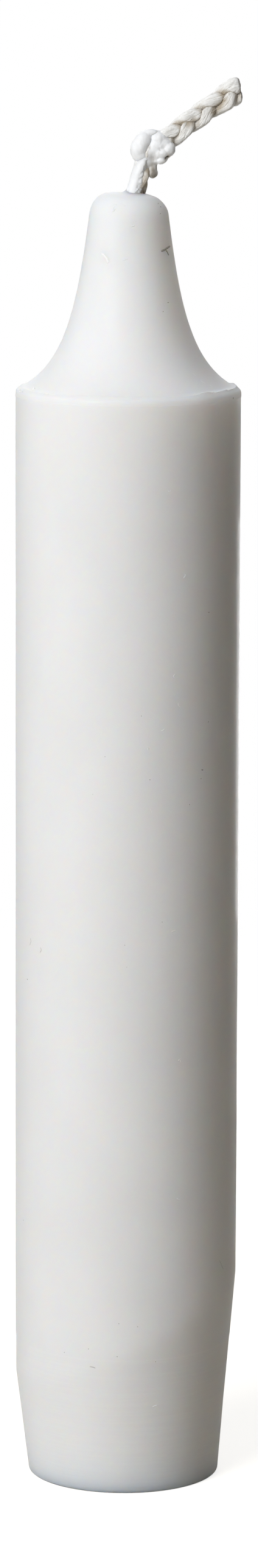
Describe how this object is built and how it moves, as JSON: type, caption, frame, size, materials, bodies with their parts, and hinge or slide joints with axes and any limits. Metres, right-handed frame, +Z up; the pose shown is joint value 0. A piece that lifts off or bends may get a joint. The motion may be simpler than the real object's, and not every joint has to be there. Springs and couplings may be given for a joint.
{
  "type": "taper candle",
  "caption": "White cast wax candle with a straight round body, bell-shaped crown, tapered foot for a socket and a plaited cotton wick bent to one side.",
  "frame": {"origin": "on the body's axis, in the plane of the flat foot", "axes": "+Z up along the candle's body, +X the way the wick bends over, -Y the side the picture shows"},
  "size_m": [0.0225, 0.0222, 0.1396],
  "materials": {
    "wax": "satin",
    "wick_wax": "satin",
    "wick_cotton": "matt, waxed"
  },
  "bodies": {
    "root": {"wax_body": "wax", "wick_strand_1": "wick_cotton", "wick_strand_2": "wick_cotton", "wick_strand_3": "wick_cotton", "wax_bead_on_wick": "wick_wax", "wax_drip_on_wick": "wick_wax"}
  },
  "joints": []
}
